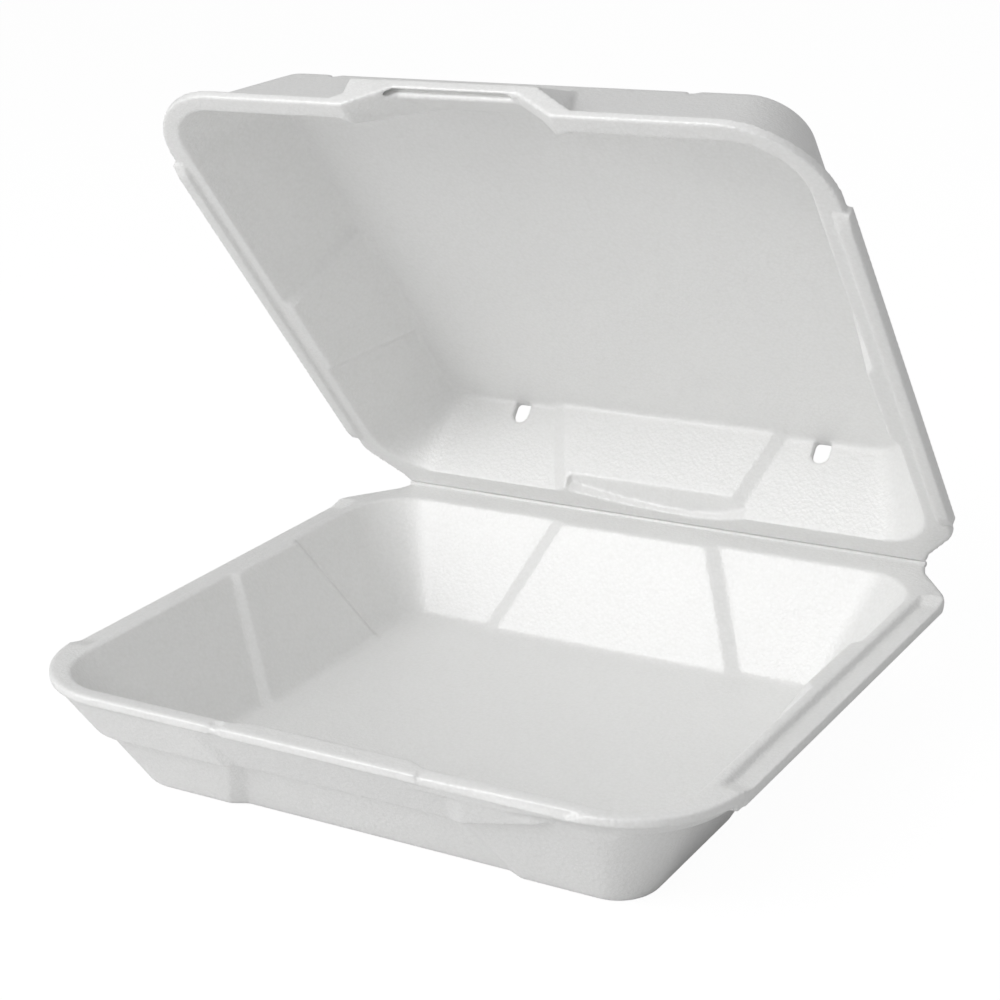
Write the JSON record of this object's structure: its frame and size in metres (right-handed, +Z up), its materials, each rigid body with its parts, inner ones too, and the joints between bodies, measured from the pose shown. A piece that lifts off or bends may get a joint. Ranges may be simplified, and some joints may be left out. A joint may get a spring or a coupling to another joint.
{
  "type": "hinged foam food container",
  "caption": "Open square take-away container of white foam: a tapered tray and a hinged lid with pressed panels, vents and a front latch.",
  "frame": {"origin": "middle of the tray's flat underside", "axes": "+Z up, -Y towards the latch at the front, +X along the crease, to the right seen from the front"},
  "size_m": [0.2344, 0.2212, 0.2105],
  "materials": {
    "foam": "matte white skin with a fine grain"
  },
  "bodies": {
    "base_tray": {"base_tray": "foam"},
    "lid": {"lid": "foam"}
  },
  "joints": [
    {"name": "lid_hinge", "type": "hinge", "parent": "base_tray", "child": "lid", "pos_m": [0, 0.102, 0.03955], "axis": [-1, 0, 0], "range_deg": [-53.3, 126.7]}
  ]
}
